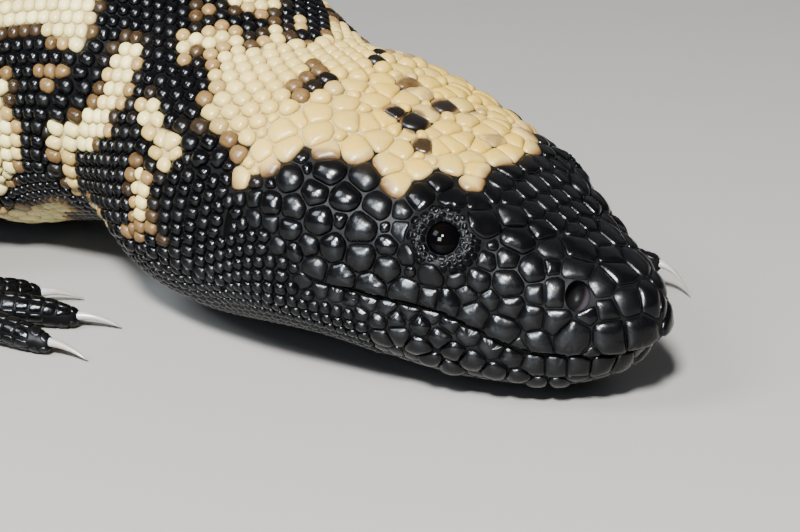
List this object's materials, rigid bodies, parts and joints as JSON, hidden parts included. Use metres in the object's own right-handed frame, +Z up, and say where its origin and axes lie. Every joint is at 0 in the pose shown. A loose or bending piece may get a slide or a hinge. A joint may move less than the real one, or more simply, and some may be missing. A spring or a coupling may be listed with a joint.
{
  "type": "gila monster",
  "caption": "Life-size still model of a black and cream beaded lizard, resting on its belly with its head held low and turned a little to its right.",
  "frame": {"origin": "on the floor, under the middle of the belly", "axes": "+X along the body towards the head, +Y to the animal's left, +Z up from the floor"},
  "size_m": [0.4174, 0.1887, 0.0505],
  "materials": {
    "black_skin": "glossy black beaded scales",
    "cream_skin": "satin cream beaded scales",
    "claw_horn": "smooth grey horn",
    "eye": "wet black gloss"
  },
  "bodies": {
    "root": {"eye_left": "eye", "eye_right": "eye", "front_left_claw_1": "claw_horn", "front_left_claw_2": "claw_horn", "front_left_claw_3": "claw_horn", "front_left_claw_4": "claw_horn", "front_left_claw_5": "claw_horn", "front_left_foot": "black_skin", "front_left_forearm": "black_skin", "front_left_upper_arm": "black_skin", "front_right_claw_1": "claw_horn", "front_right_claw_2": "claw_horn", "front_right_claw_3": "claw_horn", "front_right_claw_4": "claw_horn", "front_right_claw_5": "claw_horn", "front_right_foot": "black_skin", "front_right_forearm": "black_skin", "front_right_upper_arm": "black_skin", "head": "black_skin", "hind_left_claw_1": "claw_horn", "hind_left_claw_2": "claw_horn", "hind_left_claw_3": "claw_horn", "hind_left_claw_4": "claw_horn", "hind_left_claw_5": "claw_horn", "hind_left_foot": "black_skin", "hind_left_shin": "black_skin", "hind_left_thigh": "black_skin", "hind_right_claw_1": "claw_horn", "hind_right_claw_2": "claw_horn", "hind_right_claw_3": "claw_horn", "hind_right_claw_4": "claw_horn", "hind_right_claw_5": "claw_horn", "hind_right_foot": "black_skin", "hind_right_shin": "black_skin", "hind_right_thigh": "black_skin", "lower_jaw": "black_skin", "neck": "cream_skin", "tail_base": "cream_skin", "tail_tip": "black_skin", "torso": "black_skin"}
  },
  "joints": []
}
